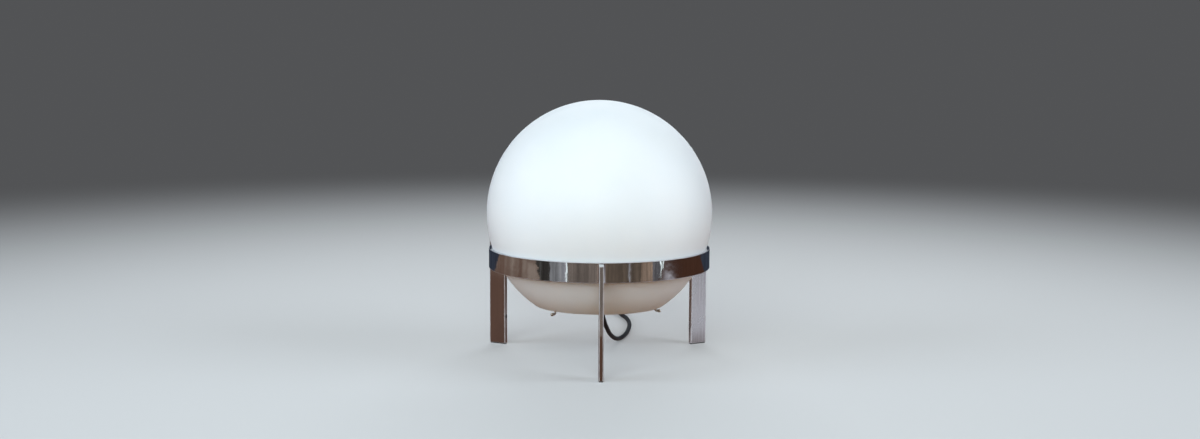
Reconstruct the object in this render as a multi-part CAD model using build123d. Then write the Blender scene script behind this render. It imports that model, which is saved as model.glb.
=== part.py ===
from build123d import *
import math
import os

# Glass globe table lamp: an opal globe resting in a ring on three flat-bar legs, with a lampholder
# hung in the globe's mouth on sprung wire arms, and a cord with a wheel switch and a plug.
# Millimetres, +Z up. The origin is on the lamp's axis at the table top, and the front leg is at -Y.

# Globe: a glass ball cut off flat at the bottom
globe_radius = 114.3
globe_wall = 3.0
mouth_radius = 66.1            # outer edge of the ground rim
rim_bevel = 0.4

# Ring that carries the globe on its inner top edge
ring_top_height = 112.0        # above the table
ring_height = 20.0
ring_wall = 3.2
centre_above_ring = 34.7       # globe's centre above the ring's top
seat_gap = 0.25                # left between glass and seat
seat_bevel = 0.6
edge_break = 0.3

# Legs: flat bars on edge, pointing out from the axis
leg_width = 19.05
leg_thickness = 4.76
leg_corner = 0.6
leg_top_below_ring = 1.0
leg_angles = {"front": -90, "right": 30, "left": 150}
pad_height = 1.0
pad_inset = 0.5

# Sprung wire arms that hook over the globe's rim
arm_angles = {"left": 221.85, "right": 341.85, "back": 101.85}
wire_radius = 1.2
wire_bend_radius = 1.6
arm_knee_radius = 44.0         # where the arm leaves the level, from the axis
arm_glass_gap = 0.5
arm_hook_rise = 3.9            # top bend above the rim
arm_notch_rise = 0.9           # notch above the rim
arm_tip_drop = 4.1             # free end below the rim
arm_tip_radius = 63.8          # centre of the end ball, from the axis
arm_ball_radius = 1.7
arm_travel = 5.0               # squeezed inwards to let go of the rim
arm_fit = 0.08                 # radial clearance in the hub
arm_stop_gap = 0.5             # left to the nipple when squeezed

# Hub and nipple
hub_radius = 18.0
hub_height = 8.0
hub_above_rim = 11.0
hub_edge = 1.0
nipple_radius = 5.0
nipple_bore = 3.6
nipple_fit = 0.1
nipple_end = 1.0               # nipple below its nut
nut_width = 14.3               # across flats
nut_height = 3.2

# Cord bushing: a rubber collar and a tapered nose that bends towards the cord
bushing_collar_radius = 6.2
bushing_collar_height = 3.0
bushing_spigot_height = 6.0
bushing_fit = 0.1
bushing_root_radius = 5.6
bushing_tip_radius = 3.5
bushing_length = 14.5
bushing_direction = Vector(0.20, 0.36, -0.91).normalized()

# Lampholder, for a bulb with a 26 mm screw cap
socket_cap_height = 14.0
socket_cap_foot = 9.0
socket_cap_wall = 2.0
socket_radius = 17.0
socket_shell_wall = 1.0
socket_lip = 2.0               # shell above the screw shell
insulator_height = 12.0
insulator_fit = 0.2
screw_shell_radius = 13.5      # inside
screw_shell_wall = 0.5
screw_shell_height = 22.0
contact_radius = 3.5
contact_height = 1.5
terminal_spread = 9.0
terminal_head_radius = 2.6
terminal_head_height = 1.6
terminal_shank_radius = 1.5
terminal_shank_length = 6.0
terminal_fit = 0.1
core_radius = 0.9              # insulated conductor
core_offset = 1.4
core_bend = 3.0
core_gap = 0.3                 # to the screw heads above and the nipple's edge below

# Bulb
bulb_gap = 0.3                 # between its tip and the contact
bulb_cap_radius = 13.1
bulb_cap_length = 22.0
bulb_tip_radius = 4.5
bulb_tip_height = 1.6
bulb_insulator_height = 3.0
bulb_neck_radius = 14.0
bulb_neck_length = 3.0
bulb_flare_radius = 50.0
bulb_radius = 30.0
bulb_wall = 0.8

# Cord, with a wheel switch lying on the table
cord_radius = 2.25
cord_run_share = 0.45          # of the shorter run, taken by each bend
cord_first_run = 8.5           # straight out of the bushing
cord_last_run = 10.0           # straight into the switch
switch_entry_x = 26.5
switch_entry_y = 240.0
switch_length = 48.0
switch_width = 19.0
switch_height = 11.5
switch_corner = 7.0
switch_edge = 1.8
wheel_radius = 8.0
wheel_thickness = 4.0
wheel_reach = 2.5              # of the wheel's rim out of the case
wheel_gap = 0.4
wheel_notches = 20
wheel_notch_radius = 0.6
wheel_axle_radius = 2.0
wheel_axle_fit = 0.08
leaf_length = 8.0              # brass contact leaves, along the cord
leaf_width = 5.0
leaf_thickness = 1.2
leaf_offset = 12.5             # from the wheel, along the cord
leaf_side = 2.4                # from the middle of the case
leaf_gap = 0.2
case_screw_offset = 19.5
case_screw_head_radius = 2.8
case_screw_head_height = 1.6
case_screw_radius = 1.4
case_screw_length = 7.5
case_screw_fit = 0.1

# Coil of spare cord: half turns that spiral in, climb a layer and spiral out again
coil_outer_radius = 38.5       # middle of the outermost half turn
coil_gap = 0.5                 # between turns
coil_half_turns = 8            # in the lower layer
coil_lead_straight = 5.0       # out of the switch
coil_lead_slope = 20.0         # down to the table
coil_lead_flat = 11.0          # along the table to the first half turn
tail_turn = 50.0               # degrees, away from the coil
tail_radius = 25.0
tail_straight = 5.0
gap_sample_spacing = 2.0       # between the points on which the coil's own gap is measured

# Plug with two flat blades
plug_neck_length = 12.0
plug_neck_radius = 4.6
plug_neck_lip = 0.6            # its wall round the cord
plug_neck_flat = 0.4           # left between the corners where the shoulder starts
plug_body_length = 24.0
plug_shoulder = 9.0
plug_width = 21.0
plug_corner = 3.5
blade_width = 6.35
blade_width_wide = 7.9
blade_thickness = 1.5
blade_length = 16.0
blade_spacing = 12.7
blade_root = 5.0
blade_hole_radius = 1.6
blade_hole_inset = 4.0
blade_fit = 0.05

# Heights and radii that follow from the sizes above
globe_centre = ring_top_height + centre_above_ring
globe_inner_radius = globe_radius - globe_wall
rim_height = globe_centre - math.sqrt(globe_radius**2 - mouth_radius**2)
mouth_inner_radius = math.sqrt(globe_inner_radius**2 - (globe_centre - rim_height) ** 2)
seat_depth = centre_above_ring + seat_bevel / 2
seat_radius = math.sqrt((globe_radius + seat_gap) ** 2 - seat_depth**2)
seat_bevel_width = seat_bevel * seat_depth / seat_radius
ring_inner_radius = seat_radius - seat_bevel_width / 2
ring_outer_radius = ring_inner_radius + ring_wall
hub_bottom = rim_height + hub_above_rim
hub_top = hub_bottom + hub_height
nipple_bottom = hub_bottom - nut_height - nipple_end
collar_bottom = nipple_bottom - bushing_collar_height
insulator_bottom = hub_top + socket_cap_height
insulator_top = insulator_bottom + insulator_height
core_level = insulator_bottom - terminal_head_height - core_gap - core_radius
nipple_top = core_level - core_radius - core_gap
contact_top = insulator_top + contact_height
bulb_bottom = contact_top + bulb_gap
bulb_cap_bottom = bulb_bottom + bulb_tip_height + bulb_insulator_height
bulb_cap_top = bulb_cap_bottom + bulb_cap_length
cord_exit = Vector(0, 0, collar_bottom) + bushing_direction * bushing_length
switch_middle = switch_height / 2
switch_entry = Vector(switch_entry_x, switch_entry_y, switch_middle)
coil_pitch = 2 * cord_radius + coil_gap
plug_half_height = cord_radius + coil_pitch

# The cord's route from the bushing to the switch. The first run leaves the bushing straight, and the
# last enters the switch straight.
cord_route = [
    cord_exit,
    cord_exit + bushing_direction * cord_first_run,
    Vector(8.0, 21.5, 24.5),
    Vector(13.0, 44.0, 11.5),
    Vector(20.8, 68.0, cord_radius),
    Vector(29.8, 92.0, cord_radius),
    Vector(35.0, 128.0, cord_radius),
    Vector(37.5, 165.0, cord_radius),
    Vector(34.5, 200.0, cord_radius),
    Vector(28.5, 219.0, cord_radius),
    switch_entry - Vector(0, cord_last_run, 0),
    switch_entry,
]


def turned(*outline):
    """Solid of revolution about the lamp's axis, from (radius, height) corners."""
    corners = [(radius, 0, height) for radius, height in outline]
    return revolve(make_face(Polyline(*corners, close=True)), Axis.Z, 360)


def disc(radius, bottom, top):
    """Cylinder on the lamp's axis between two heights."""
    return Pos(0, 0, (bottom + top) / 2) * Cylinder(radius, top - bottom)


def tube(path, radius):
    """Round tube along a path, square to it at its start."""
    section = Plane(origin=path @ 0, z_dir=path % 0) * Circle(radius)
    return sweep(section, path=path)


def arc_about(centre_x, centre_z, radius, start, end):
    """Arc in the XZ plane about a centre, between two angles in degrees from +X."""
    def at(angle):
        turn = math.radians(angle)
        return (centre_x + radius * math.cos(turn), 0, centre_z + radius * math.sin(turn))

    return ThreePointArc(at(start), at((start + end) / 2), at(end))


def glass_globe():
    """Hollow ball, cut off at the rim, with both edges of the ground rim broken."""
    outer_end = -math.degrees(math.asin((globe_centre - rim_height) / globe_radius))
    inner_end = -math.degrees(math.asin((globe_centre - rim_height) / globe_inner_radius))
    outer = arc_about(0, globe_centre, globe_radius, 90, outer_end)
    inner = arc_about(0, globe_centre, globe_inner_radius, inner_end, 90)
    section = make_face([outer, Line(outer @ 1, inner @ 0), inner, Line(inner @ 1, outer @ 0)])
    ball = revolve(section, Axis.Z, 360)
    return chamfer(ball.faces().filter_by(GeomType.PLANE).edges(), rim_bevel)


def ring_band():
    """Flat-bar ring, bevelled inside at the top where the glass rests."""
    bottom = ring_top_height - ring_height
    return turned(
        (ring_inner_radius, bottom + edge_break),
        (ring_inner_radius + edge_break, bottom),
        (ring_outer_radius - edge_break, bottom),
        (ring_outer_radius, bottom + edge_break),
        (ring_outer_radius, ring_top_height - edge_break),
        (ring_outer_radius - edge_break, ring_top_height),
        (ring_inner_radius + seat_bevel_width, ring_top_height),
        (ring_inner_radius, ring_top_height - seat_bevel),
    )


def beside_ring(angle):
    """Place of a leg: its middle, outside the ring at an angle about the axis."""
    return Rot(0, 0, angle) * Pos(ring_outer_radius + leg_width / 2, 0, 0)


def leg(angle):
    """Flat bar on edge, standing on its pad, with its corners broken."""
    height = ring_top_height - leg_top_below_ring - pad_height
    bar = extrude(RectangleRounded(leg_width, leg_thickness, leg_corner), height)
    bar = chamfer(bar.faces().filter_by(Axis.Z).edges(), edge_break)
    return beside_ring(angle) * Pos(0, 0, pad_height) * bar


def foot_pad(angle):
    """Thin pad under a leg."""
    outline = RectangleRounded(leg_width - 2 * pad_inset, leg_thickness - 2 * pad_inset, leg_corner)
    return beside_ring(angle) * extrude(outline, pad_height)


def spring_arm(angle):
    """Wire from the hub out over the rim, in round the rim's edge and out again under it."""
    inside = globe_inner_radius - wire_radius - arm_glass_gap
    hook_height = rim_height + arm_hook_rise
    notch_height = rim_height + arm_notch_rise
    tip_height = rim_height - arm_tip_drop
    hook_radius = math.sqrt(inside**2 - (globe_centre - hook_height) ** 2)
    notch_radius = math.sqrt(inside**2 - (globe_centre - notch_height) ** 2)
    shank_height = (hub_bottom + hub_top) / 2
    shank_end = nipple_radius + arm_stop_gap + arm_travel
    corners = [
        (shank_end, 0, shank_height),
        (arm_knee_radius, 0, shank_height),
        (hook_radius, 0, hook_height),
        (notch_radius, 0, notch_height),
        (notch_radius + arm_notch_rise, 0, tip_height),
        (arm_tip_radius, 0, tip_height),
    ]
    wire = tube(FilletPolyline(*corners, radius=wire_bend_radius), wire_radius)
    ball = Pos(arm_tip_radius, 0, tip_height) * Sphere(arm_ball_radius)
    return Rot(0, 0, angle) * (wire + ball)


def holder_hub():
    """Boss with a middle hole for the nipple and a radial hole for each arm."""
    boss = disc(hub_radius, hub_bottom, hub_top)
    boss = chamfer(boss.edges().filter_by(GeomType.CIRCLE), hub_edge)
    boss -= disc(nipple_radius + nipple_fit, hub_bottom, hub_top)
    for angle in arm_angles.values():
        place = Pos(0, 0, (hub_bottom + hub_top) / 2) * Rot(0, 0, angle) * Rot(0, 90, 0)
        boss -= place * extrude(Circle(wire_radius + arm_fit), 2 * hub_radius)
    return boss


def threaded_nipple():
    """Hollow tube from under the hub up into the lampholder's cap."""
    nipple = disc(nipple_radius, nipple_bottom, nipple_top)
    return nipple - disc(nipple_bore, nipple_bottom, nipple_top)


def hub_nut():
    """Hexagon nut under the hub."""
    hexagon = RegularPolygon(nut_width / 2, 6, major_radius=False)
    nut = Pos(0, 0, hub_bottom - nut_height) * extrude(hexagon, nut_height)
    return nut - disc(nipple_radius + nipple_fit, hub_bottom - nut_height, hub_bottom)


def cord_bushing():
    """Collar under the nipple, spigot inside it, and a tapered nose along the cord's first run."""
    collar = disc(bushing_collar_radius, collar_bottom, nipple_bottom)
    spigot = disc(nipple_bore - bushing_fit, nipple_bottom, nipple_bottom + bushing_spigot_height)
    knuckle = Pos(0, 0, collar_bottom) * Sphere(bushing_root_radius, arc_size1=-90, arc_size2=0)
    nose_middle = Vector(0, 0, collar_bottom) + bushing_direction * (bushing_length / 2)
    nose = Plane(origin=nose_middle, z_dir=bushing_direction) * Cone(
        bushing_root_radius, bushing_tip_radius, bushing_length
    )
    return collar + spigot + knuckle + nose


def socket_cap():
    """Bell-shaped lower cap, closed on the nipple and open at the top."""
    hole = nipple_radius + nipple_fit
    shoulder = hub_top + socket_cap_height / 2
    return turned(
        (hole, hub_top),
        (socket_cap_foot, hub_top),
        (socket_cap_foot, hub_top + socket_cap_wall),
        (socket_radius, shoulder),
        (socket_radius, insulator_bottom),
        (socket_radius - socket_cap_wall, insulator_bottom),
        (socket_radius - socket_cap_wall, shoulder + socket_cap_wall / 2),
        (socket_cap_foot, hub_top + 2 * socket_cap_wall),
        (hole, hub_top + 2 * socket_cap_wall),
    )


def socket_shell():
    """Straight upper shell, standing on the cap."""
    top = insulator_top + screw_shell_height + socket_lip
    shell = disc(socket_radius, insulator_bottom, top)
    return shell - disc(socket_radius - socket_shell_wall, insulator_bottom, top)


def terminal_places():
    """The two terminals, left and right of the axis."""
    return [Pos(side * terminal_spread, 0, 0) for side in (-1, 1)]


def socket_insulator():
    """Block that carries the contacts, with a blind hole for each terminal screw."""
    block = disc(socket_radius - socket_shell_wall - insulator_fit, insulator_bottom, insulator_top)
    hole_top = insulator_bottom + terminal_shank_length + terminal_fit
    for place in terminal_places():
        block -= place * disc(terminal_shank_radius + terminal_fit, insulator_bottom, hole_top)
    return block


def terminal_screws():
    """Two screws up into the block, heads below."""
    head = disc(terminal_head_radius, insulator_bottom - terminal_head_height, insulator_bottom)
    shank = disc(terminal_shank_radius, insulator_bottom, insulator_bottom + terminal_shank_length)
    return Part() + [place * (head + shank) for place in terminal_places()]


def socket_wires():
    """Two conductors from the bushing up through the nipple to the terminal heads."""
    wires = []
    start = nipple_bottom + bushing_spigot_height
    for side in (-1, 1):
        corners = [
            (side * core_offset, 0, start),
            (side * core_offset, 0, core_level),
            (side * terminal_spread, 0, core_level),
        ]
        wires.append(tube(FilletPolyline(*corners, radius=core_bend), core_radius))
    return Part() + wires


def screw_shell():
    """Thin sleeve that takes the bulb's cap."""
    top = insulator_top + screw_shell_height
    sleeve = disc(screw_shell_radius + screw_shell_wall, insulator_top, top)
    return sleeve - disc(screw_shell_radius, insulator_top, top)


def centre_contact():
    """Round contact under the bulb's tip."""
    return disc(contact_radius, insulator_top, contact_top)


def bulb_glass():
    """Thin envelope: a neck, a hollow flare and a ball, open where the cap closes it."""
    flare_bottom = bulb_cap_top + bulb_neck_length
    flare_centre = bulb_neck_radius + bulb_flare_radius
    rise = math.sqrt((bulb_flare_radius + bulb_radius) ** 2 - flare_centre**2)
    join = math.degrees(math.atan2(rise, flare_centre))

    def outline(inset):
        flare = bulb_flare_radius + inset
        neck_low = (flare_centre - flare, 0, bulb_cap_top)
        neck_high = (flare_centre - flare, 0, flare_bottom)
        return [
            Line(neck_low, neck_high),
            arc_about(flare_centre, flare_bottom, flare, 180, 180 - join),
            arc_about(0, flare_bottom + rise, bulb_radius - inset, -join, 90),
        ]

    outer = outline(0)
    inner = outline(bulb_wall)
    foot = Line(outer[0] @ 0, inner[0] @ 0)
    top = Line(outer[-1] @ 1, inner[-1] @ 1)
    return revolve(make_face([*outer, *inner, foot, top]), Axis.Z, 360)


def bulb_cap():
    """Screw cap, under the glass."""
    return disc(bulb_cap_radius, bulb_cap_bottom, bulb_cap_top)


def bulb_insulator():
    """Tapered insulator between cap and tip."""
    low = bulb_cap_bottom - bulb_insulator_height
    return turned((0, low), (bulb_tip_radius, low), (bulb_cap_radius, bulb_cap_bottom), (0, bulb_cap_bottom))


def bulb_tip():
    """Contact button under the insulator."""
    return disc(bulb_tip_radius, bulb_bottom, bulb_bottom + bulb_tip_height)


def bend_radii(route):
    """Radius for each corner of the route: a share of its shorter run, over the tangent of half its turn."""
    radii = []
    for before, corner, after in zip(route, route[1:], route[2:]):
        first, second = corner - before, after - corner
        half_turn = math.radians(first.get_angle(second)) / 2
        radii.append(cord_run_share * min(first.length, second.length) / math.tan(half_turn))
    return radii


def cord_lead():
    """Free stretch of cord from the bushing to the switch."""
    radii = bend_radii(cord_route)
    path = FilletPolyline(*cord_route, radius=radii)
    lead = tube(path, cord_radius)
    section = math.pi * cord_radius**2
    print("cord lead radii", [round(radius, 1) for radius in radii])
    print("cord lead length", round(path.length, 1), "volume over section", round(lead.volume / section, 1))
    return lead


def coil_path():
    """Lead-in from the switch, spiral in, climb, spiral out, and the tail to the plug."""
    step = coil_pitch / 2
    ways_in = [coil_outer_radius - step * turn for turn in range(coil_half_turns)]
    climb_radius = coil_outer_radius - step * coil_half_turns
    x = switch_entry.X
    y = switch_entry.Y + switch_length
    low, high = cord_radius, cord_radius + coil_pitch
    straight_end = Vector(x, y + coil_lead_straight, switch_middle)
    slope_end = Vector(x, y + coil_lead_straight + coil_lead_slope, low)
    halfway = (straight_end + slope_end) / 2
    edges = [Line(Vector(x, y, switch_middle), straight_end)]
    edges.append(TangentArc(straight_end, halfway, tangent=(0, 1, 0)))
    edges.append(TangentArc(halfway, slope_end, tangent=edges[-1] % 1))
    y = slope_end.Y + coil_lead_flat
    edges.append(Line(slope_end, Vector(x, y, low)))
    side = 1

    def half_turn(radius, height):
        nonlocal x, side
        start, end = Vector(x, y, height), Vector(x - 2 * side * radius, y, height)
        top = Vector(x - side * radius, y + side * radius, height)
        edges.append(ThreePointArc(start, top, end))
        x, side = end.X, -side

    for radius in ways_in:
        half_turn(radius, low)
    # Two arcs on tilted planes climb a layer in a half turn
    rise = coil_pitch / 2
    start, end = Vector(x, y, low), Vector(x - 2 * side * climb_radius, y, high)
    middle = Vector(x - side * climb_radius, y + side * math.hypot(climb_radius, rise), (low + high) / 2)
    edges.append(TangentArc(start, middle, tangent=(0, side, 0)))
    edges.append(TangentArc(middle, end, tangent=edges[-1] % 1))
    x, side = end.X, -side
    for radius in reversed(ways_in[1:]):
        half_turn(radius, high)
    turn = math.radians(tail_turn)
    bend_start = Vector(x, y, high)
    bend_end = bend_start + Vector(1 - math.cos(turn), math.sin(turn), 0) * tail_radius
    edges.append(TangentArc(bend_start, bend_end, tangent=(0, 1, 0)))
    edges.append(Line(bend_end, bend_end + Vector(math.sin(turn), math.cos(turn), 0) * tail_straight))
    return Wire(edges)


def least_self_gap(path):
    """Least clear distance of the tube to itself, on points that lie a few widths apart along it."""
    count = round(path.length / gap_sample_spacing)
    points = [path @ (index / count) for index in range(count + 1)]
    skip = math.ceil(2 * math.pi * cord_radius / gap_sample_spacing)
    nearest = min(
        (points[a] - points[b]).length for a in range(count + 1) for b in range(a + skip, count + 1)
    )
    return nearest - 2 * cord_radius


def cord_coil():
    """The rest of the cord as one unbroken tube, from the switch to the plug."""
    path = coil_path()
    coil = tube(path, cord_radius)
    section = math.pi * cord_radius**2
    print("cord coil length", round(path.length, 1), "volume over section", round(coil.volume / section, 1))
    print("least gap of the coil to itself", round(least_self_gap(path), 2))
    return coil


def case_place():
    """Middle of the switch's underside, on the table."""
    return Pos(switch_entry.X, switch_entry.Y + switch_length / 2, 0)


def case_shell(bottom, top):
    """Slice of the switch's outer block between two heights, round at top and bottom edges."""
    outline = RectangleRounded(switch_width, switch_length, switch_corner)
    block = extrude(outline, switch_height)
    block = fillet(block.faces().filter_by(Axis.Z).edges(), switch_edge)
    slab = Pos(0, 0, (bottom + top) / 2) * Box(2 * switch_width, 2 * switch_length, top - bottom)
    return block & slab


def wheel_axis():
    """Place of the wheel's middle in the case: its rim stands out of the case's side."""
    return Pos(switch_width / 2 + wheel_reach - wheel_radius, 0, switch_middle)


def leaf_places():
    """The two leaves, before and behind the wheel."""
    return [Pos(-leaf_side, end * leaf_offset, switch_middle) for end in (-1, 1)]


def leaf(margin):
    """A contact leaf, or with a margin the room for one."""
    return Box(leaf_width + 2 * margin, leaf_length + 2 * margin, leaf_thickness + 2 * margin)


def case_hollows():
    """What the two halves are hollowed for: the wheel and the two contact leaves."""
    room = wheel_axis() * Cylinder(wheel_radius + wheel_gap, wheel_thickness + 2 * wheel_gap)
    for place in leaf_places():
        room += place * leaf(leaf_gap)
    return room


def switch_base():
    """Lower half of the case, with the wheel's axle and the screw's hole."""
    base = case_shell(0, switch_middle) - case_hollows()
    axle_height = wheel_thickness + 2 * wheel_gap
    base += wheel_axis() * Cylinder(wheel_axle_radius, axle_height)
    hole_place = Pos(0, case_screw_offset, 0)
    head_room = case_screw_head_height + case_screw_fit
    base -= hole_place * disc(case_screw_head_radius + case_screw_fit, 0, head_room)
    base -= hole_place * disc(case_screw_radius + case_screw_fit, 0, switch_middle)
    return case_place() * base


def switch_cover():
    """Upper half of the case."""
    cover = case_shell(switch_middle, switch_height) - case_hollows()
    screw_top = case_screw_head_height + case_screw_length
    cover -= Pos(0, case_screw_offset, 0) * disc(case_screw_radius + case_screw_fit, 0, screw_top)
    return case_place() * cover


def switch_screw():
    """Screw that holds the case together, from below."""
    head = disc(case_screw_head_radius, case_screw_fit, case_screw_head_height)
    shank = disc(case_screw_radius, case_screw_head_height, case_screw_head_height + case_screw_length)
    return case_place() * Pos(0, case_screw_offset, 0) * (head + shank)


def switch_wheel():
    """Thumb wheel with a notched rim, running on the axle."""
    wheel = Cylinder(wheel_radius, wheel_thickness)
    wheel -= Cylinder(wheel_axle_radius + wheel_axle_fit, wheel_thickness)
    notch = Cylinder(wheel_notch_radius, wheel_thickness)
    for index in range(wheel_notches):
        wheel -= Rot(0, 0, 360 * index / wheel_notches) * Pos(wheel_radius, 0, 0) * notch
    return case_place() * wheel_axis() * wheel


def switch_contacts():
    """Two brass leaves beside the wheel."""
    return case_place() * (Part() + [place * leaf(0) for place in leaf_places()])


def plug_plane():
    """Plane across the plug where the cord enters it, facing the blades."""
    end = coil_path()
    return Plane(origin=end @ 1, z_dir=end % 1, x_dir=(end % 1).cross(Vector(0, 0, 1)))


def plug_body():
    """Neck, sloped shoulder and grip, with a slot for each blade."""
    height = 2 * plug_half_height
    mouth = cord_radius + plug_neck_lip
    neck = Pos(0, 0, plug_neck_length / 2) * Cone(mouth, plug_neck_radius, plug_neck_length)
    grip_start = plug_neck_length + plug_shoulder
    small = RectangleRounded(
        2 * plug_neck_radius, 2 * plug_neck_radius, plug_neck_radius - plug_neck_flat / 2
    )
    large = RectangleRounded(plug_width, height, plug_corner)
    shoulder = loft([Pos(0, 0, plug_neck_length) * small, Pos(0, 0, grip_start) * large], ruled=True)
    grip = Pos(0, 0, grip_start) * extrude(large, plug_body_length - plug_shoulder)
    body = neck + shoulder + grip
    for side, width in ((-1, blade_width), (1, blade_width_wide)):
        slot = Box(blade_thickness + 2 * blade_fit, width + 2 * blade_fit, blade_root)
        body -= Pos(side * blade_spacing / 2, 0, plug_front() - blade_root / 2) * slot
    return plug_plane() * body


def plug_front():
    """Distance from the cord's end to the plug's front face."""
    return plug_neck_length + plug_body_length


def plug_blades():
    """One narrow and one wide blade, each with a hole near its end."""
    blades = []
    length = blade_root + blade_length
    for side, width in ((-1, blade_width), (1, blade_width_wide)):
        blade = Box(blade_thickness, width, length)
        hole = Rot(0, 90, 0) * Cylinder(blade_hole_radius, 2 * blade_thickness)
        blade -= Pos(0, 0, length / 2 - blade_hole_inset) * hole
        middle = plug_front() - blade_root + length / 2
        blades.append(Pos(side * blade_spacing / 2, 0, middle) * blade)
    return plug_plane() * (Part() + blades)


single_pieces = [
    glass_globe, ring_band, holder_hub, threaded_nipple, hub_nut, cord_bushing,
    socket_cap, socket_shell, socket_insulator, terminal_screws, socket_wires, screw_shell,
    centre_contact, bulb_glass, bulb_cap, bulb_insulator, bulb_tip, cord_lead, cord_coil,
    switch_base, switch_cover, switch_screw, switch_wheel, switch_contacts, plug_body, plug_blades,
]

pieces = {build.__name__: build() for build in single_pieces}
for place, angle in leg_angles.items():
    pieces["leg_" + place] = leg(angle)
    pieces["foot_pad_" + place] = foot_pad(angle)
for place, angle in arm_angles.items():
    pieces["spring_arm_" + place] = spring_arm(angle)

os.makedirs("parts", exist_ok=True)
for name, piece in pieces.items():
    export_step(piece, os.path.join("parts", name + ".step"))
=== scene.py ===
import math

import bmesh
import bpy
import numpy as np
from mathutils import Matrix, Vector


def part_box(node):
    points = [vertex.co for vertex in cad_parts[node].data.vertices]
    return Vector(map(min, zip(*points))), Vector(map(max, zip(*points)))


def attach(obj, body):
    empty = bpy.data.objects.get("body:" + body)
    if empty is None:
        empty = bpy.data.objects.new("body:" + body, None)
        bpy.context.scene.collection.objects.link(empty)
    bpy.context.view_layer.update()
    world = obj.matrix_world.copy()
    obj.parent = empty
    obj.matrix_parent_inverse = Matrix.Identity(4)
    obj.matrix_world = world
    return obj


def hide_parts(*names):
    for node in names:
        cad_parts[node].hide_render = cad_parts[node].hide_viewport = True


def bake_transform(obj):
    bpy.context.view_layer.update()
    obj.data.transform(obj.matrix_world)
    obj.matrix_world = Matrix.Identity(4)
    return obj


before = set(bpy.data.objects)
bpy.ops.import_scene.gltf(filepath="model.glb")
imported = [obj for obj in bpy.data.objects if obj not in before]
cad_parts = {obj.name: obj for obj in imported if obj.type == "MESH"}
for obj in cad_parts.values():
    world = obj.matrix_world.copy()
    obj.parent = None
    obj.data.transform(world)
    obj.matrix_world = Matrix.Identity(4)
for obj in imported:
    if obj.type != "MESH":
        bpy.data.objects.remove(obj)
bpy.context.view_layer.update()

# Glass globe table lamp: satin opal globe in a chromed flat-bar ring on three radial legs, with its
# lampholder hung on sprung wires, and a black cord with a wheel switch and a plug.
# Metres, in the frame's own axes: +Z up, the table top at 0, the front leg at -Y.

# ---- Sizes read from the frame -------------------------------------------------------------------


def extent(node):
    """Lowest and highest corner of a node of the frame, as two arrays."""
    low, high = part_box(node)
    return np.array(low), np.array(high)


globe_low, globe_high = extent("glass_globe")
globe_radius = (globe_high[0] - globe_low[0]) / 2
globe_centre = globe_high[2] - globe_radius
rim_height = globe_low[2]
ring_low, ring_high = extent("ring_band")
ring_outer = (ring_high[0] - ring_low[0]) / 2
leg_low, leg_high = extent("leg_front")
leg_thickness, leg_width = (leg_high - leg_low)[:2]
hub_low, hub_high = extent("holder_hub")
collar_high = extent("threaded_nipple")[0][2]
cap_low, cap_high = extent("socket_cap")
shell_low, shell_high = extent("socket_shell")
sleeve_low, sleeve_high = extent("screw_shell")
bulb_low, bulb_high = extent("bulb_glass")
bulb_cap_low, bulb_cap_high = extent("bulb_cap")
bulb_tip_low, bulb_tip_high = extent("bulb_tip")

# ---- Sizes that the frame doesn't give -----------------------------------------------------------

# Globe, ring and legs
globe_wall = 0.0030
rim_round = 0.0005
ring_wall = 0.0032
ring_round = 0.00045
seat_width = 0.0002                # of the bevel inside the ring's top edge
seat_depth = 0.0006
ring_edge_area = 1e-6              # square metres: the faces under it are the eased edges
leg_edge_area = 5e-5
leg_round = 0.0008
leg_ease = 0.0003
leg_angles = {"front": -90, "right": 30, "left": 150}
braze_size = 0.0016
braze_tuck = 0.0004

# Sprung wires
arm_angles = {"left": 221.85, "right": 341.85, "back": 101.85}
wire_radius = 0.0012
wire_bend = 0.0016
ball_radius = 0.0017
arm_root = 0.0105
arm_knee = 0.0440
arm_tip = 0.0638
arm_glass_gap = 0.0005
arm_hook_rise = 0.0039
arm_notch_rise = 0.0009
arm_tip_drop = 0.0041

# Strain relief: collar, and nose whose grooves lie between two shares of its length
collar_radius = 0.0062
collar_low = collar_high - 0.0030
collar_foot_round, collar_top_round = 0.0006, 0.0004
nose_root = 0.0056
nose_tip = 0.0035
nose_round = 0.0008
nose_grooves = 6
nose_groove_depth = 0.0007
nose_groove_share = 0.45           # of the pitch's cosine that cuts
nose_first, nose_last = 0.12, 0.93

# Lampholder and bulb
cap_hole = 0.0051
cap_foot = 0.0090
cap_wall = 0.0020
cap_edge, cap_bead, cap_hollow, cap_lip = 0.0003, 0.0008, 0.0012, 0.0004
cap_shoulder, cap_inner_shoulder = 0.0025, 0.0020
shell_wall = 0.0010
shell_foot_bevel, shell_lip_bevel = 0.0004, 0.0005
shell_lip_inner = 0.0002, 0.0003   # inner edge of the lip, across and down
groove_pitch = 0.0024
groove_depth = 0.0004
groove_start, groove_end, groove_middle = 0.7, 3.7, 0.2     # in pitches above the foot
sleeve_wall = 0.0005
sleeve_thread = 0.0003
cap_thread = 0.0004
thread_pitch = 0.00363
thread_foot, thread_head = 0.001, 0.003                     # of the bulb's cap, left plain
bulb_cap_edge = 0.0004
neck_radius = 0.0140
neck_length = 0.0030
flare_radius = 0.0500
bulb_wall = 0.0008

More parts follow.
